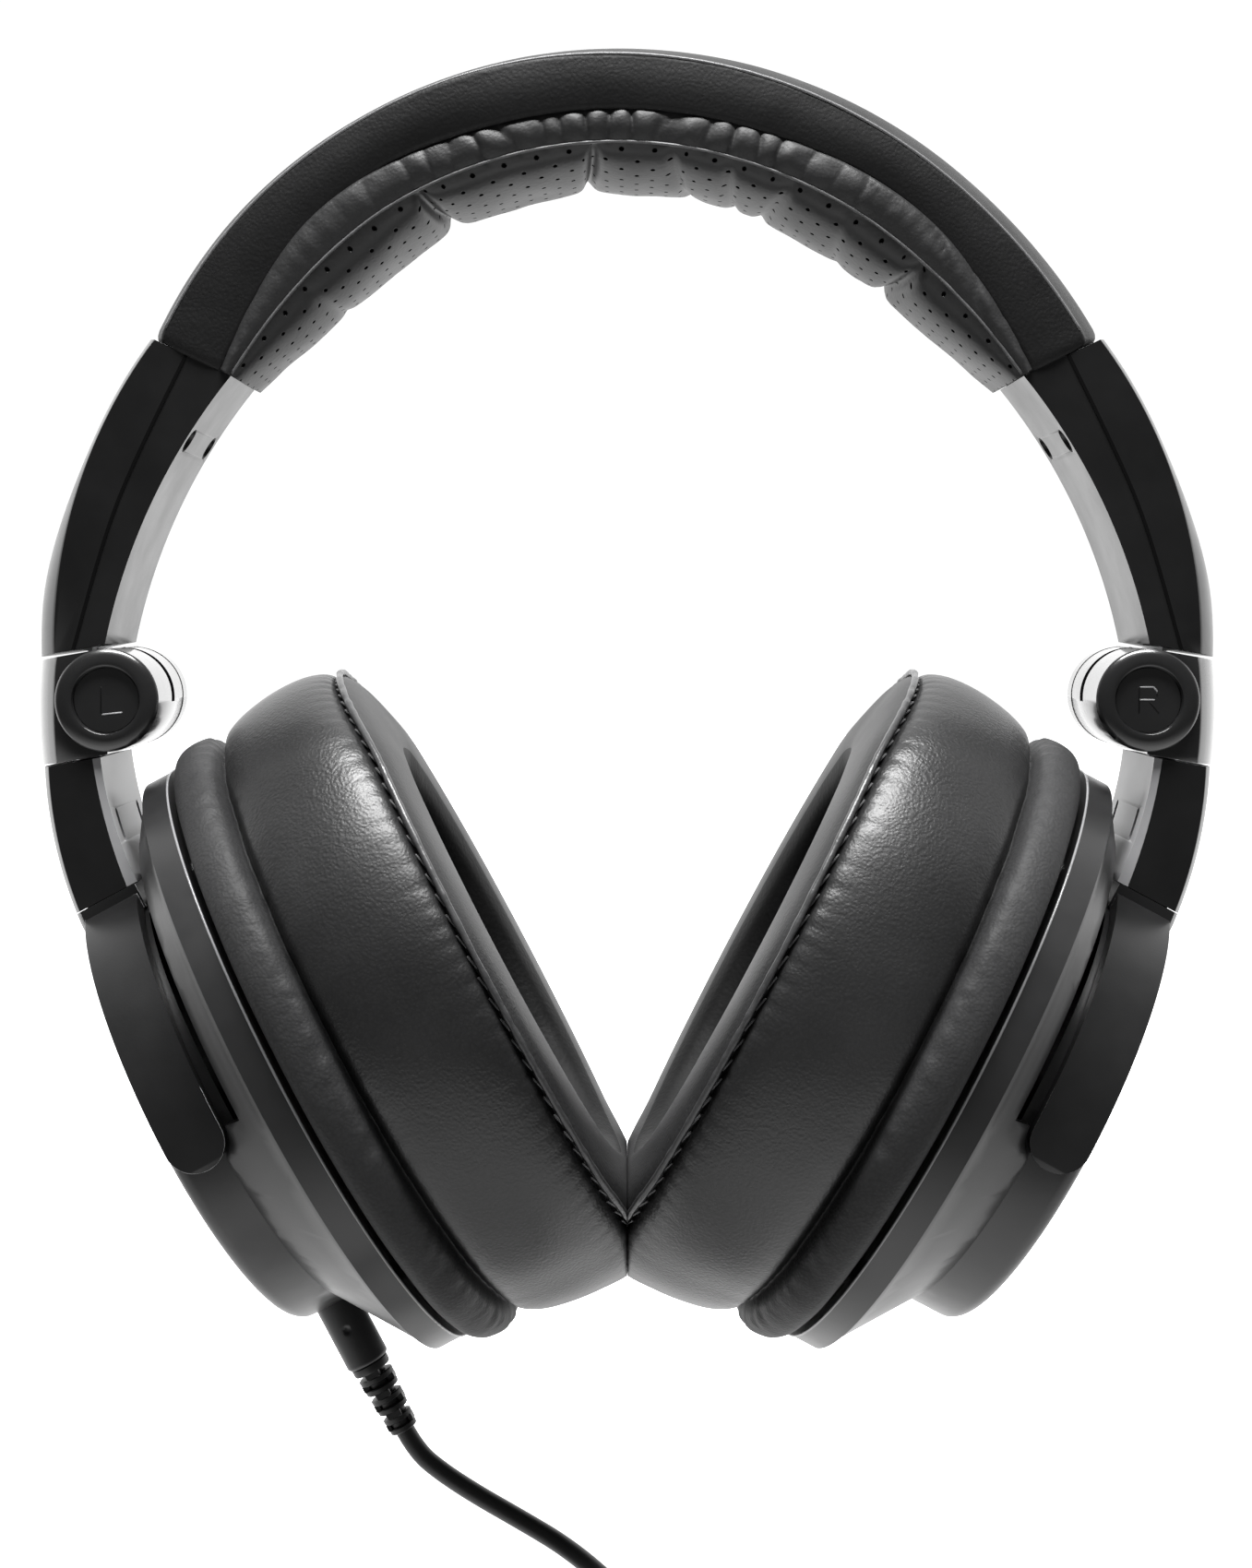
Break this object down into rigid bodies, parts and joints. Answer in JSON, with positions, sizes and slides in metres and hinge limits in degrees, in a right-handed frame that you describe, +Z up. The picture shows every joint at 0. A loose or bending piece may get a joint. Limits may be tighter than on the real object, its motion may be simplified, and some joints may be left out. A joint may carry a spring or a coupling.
{
  "type": "over ear headphones",
  "caption": "Folding closed-back over-ear headphones: padded headband with sliding, hinged arms, yokes that swivel and tilt round oval padded cups, and a detachable cable.",
  "frame": {"origin": "middle of the headband cushion's underside, where a head or a stand's hook carries the headphones", "axes": "+Z up, +X across the head from the left cup to the right cup, -Y towards the front"},
  "size_m": [0.181, 0.1129, 0.2426],
  "materials": {
    "spring_steel": "brushed",
    "band_leather": "fine grain leatherette, low sheen",
    "cushion_leather": "soft leatherette, low sheen",
    "black_plastic": "matte moulded",
    "grey_plastic": "fine texture",
    "satin_black": "satin",
    "hinge_metal": "satin black paint",
    "hinge_cap_plastic": "semi gloss",
    "cup_plastic": "satin",
    "inner_plastic": "matte",
    "steel_bits": "bright zinc",
    "magnet_steel": "plated",
    "membrane": "thin film",
    "scrim_fabric": "thin woven scrim",
    "pad_leather": "pebble grain leatherette",
    "plug_metal": "polished plating",
    "plug_plastic": "satin",
    "cord_rubber": "soft satin",
    "tie_rubber": "matte"
  },
  "bodies": {
    "headband": {"headband_spring": "spring_steel", "headband_cover": "band_leather", "headband_cushion": "cushion_leather", "arm_outer_shell_l": "black_plastic", "arm_inner_shell_l": "black_plastic", "arm_screws_l": "steel_bits", "detent_spring_l": "spring_steel", "arm_outer_shell_r": "black_plastic", "arm_inner_shell_r": "black_plastic", "arm_screws_r": "steel_bits", "detent_spring_r": "spring_steel"},
    "slider_left": {"slider_band_l": "spring_steel"},
    "fold_block_left": {"hinge_block_l": "hinge_metal", "hinge_pin_l": "steel_bits", "hinge_cap_front_l": "hinge_cap_plastic", "hinge_cap_back_l": "hinge_cap_plastic"},
    "fork_left": {"yoke_l": "satin_black", "stem_cover_l": "black_plastic", "stem_plate_l": "grey_plastic", "swivel_pin_l": "steel_bits", "pivot_pins_l": "steel_bits"},
    "cup_left": {"cup_housing_l": "cup_plastic", "cup_plate_l": "cup_plastic", "baffle_l": "inner_plastic", "baffle_screws_l": "steel_bits", "driver_frame_l": "inner_plastic", "driver_magnet_l": "magnet_steel", "diaphragm_l": "membrane", "ear_scrim_l": "scrim_fabric", "earpad_l": "pad_leather", "jack_socket": "inner_plastic"},
    "slider_right": {"slider_band_r": "spring_steel"},
    "fold_block_right": {"hinge_block_r": "hinge_metal", "hinge_pin_r": "steel_bits", "hinge_cap_front_r": "hinge_cap_plastic", "hinge_cap_back_r": "hinge_cap_plastic"},
    "fork_right": {"yoke_r": "satin_black", "stem_cover_r": "black_plastic", "stem_plate_r": "grey_plastic", "swivel_pin_r": "steel_bits", "pivot_pins_r": "steel_bits"},
    "cup_right": {"cup_housing_r": "cup_plastic", "cup_plate_r": "cup_plastic", "baffle_r": "inner_plastic", "baffle_screws_r": "steel_bits", "driver_frame_r": "inner_plastic", "driver_magnet_r": "magnet_steel", "diaphragm_r": "membrane", "ear_scrim_r": "scrim_fabric", "earpad_r": "pad_leather"},
    "cable": {"plug_pin": "plug_metal", "plug_sleeve": "plug_plastic", "strain_relief": "cord_rubber", "cord_tube": "cord_rubber", "cord_coil": "cord_rubber", "coil_tie": "tie_rubber", "source_relief": "cord_rubber", "source_sleeve": "plug_plastic", "source_pin": "plug_metal"}
  },
  "joints": [
    {"name": "height_l", "type": "slide", "parent": "headband", "child": "slider_left", "axis": [0.1736, 0, 0.9848], "range_m": [-0.02, 0]},
    {"name": "fold_l", "type": "hinge", "parent": "slider_left", "child": "fold_block_left", "pos_m": [-0.078, 0, -0.0785], "axis": [0, -1, 0], "range_deg": [0, 65], "deforming": ["cord_tube", "cord_coil", "coil_tie", "source_relief", "source_sleeve", "source_pin", "earpad_l"]},
    {"name": "swivel_l", "type": "hinge", "parent": "fold_block_left", "child": "fork_left", "pos_m": [-0.0829, 0, -0.0875], "axis": [-0.1736, 0, 0.9848], "range_deg": [-10, 90]},
    {"name": "tilt_l", "type": "hinge", "parent": "fork_left", "child": "cup_left", "pos_m": [-0.06119, 0, -0.14025], "axis": [0, 1, 0], "range_deg": [0, 30]},
    {"name": "plug_pull", "type": "slide", "parent": "cup_left", "child": "cable", "axis": [0.4695, 0, -0.8829], "range_m": [0, 0.018]},
    {"name": "height_r", "type": "slide", "parent": "headband", "child": "slider_right", "axis": [0.1736, 0, -0.9848], "range_m": [0, 0.02]},
    {"name": "fold_r", "type": "hinge", "parent": "slider_right", "child": "fold_block_right", "pos_m": [0.078, 0, -0.0785], "axis": [0, -1, 0], "range_deg": [-65, 0], "deforming": ["earpad_r"]},
    {"name": "swivel_r", "type": "hinge", "parent": "fold_block_right", "child": "fork_right", "pos_m": [0.0829, 0, -0.0875], "axis": [0.1736, 0, 0.9848], "range_deg": [-90, 10]},
    {"name": "tilt_r", "type": "hinge", "parent": "fork_right", "child": "cup_right", "pos_m": [0.06119, 0, -0.14025], "axis": [0, 1, 0], "range_deg": [-30, 0]}
  ]
}
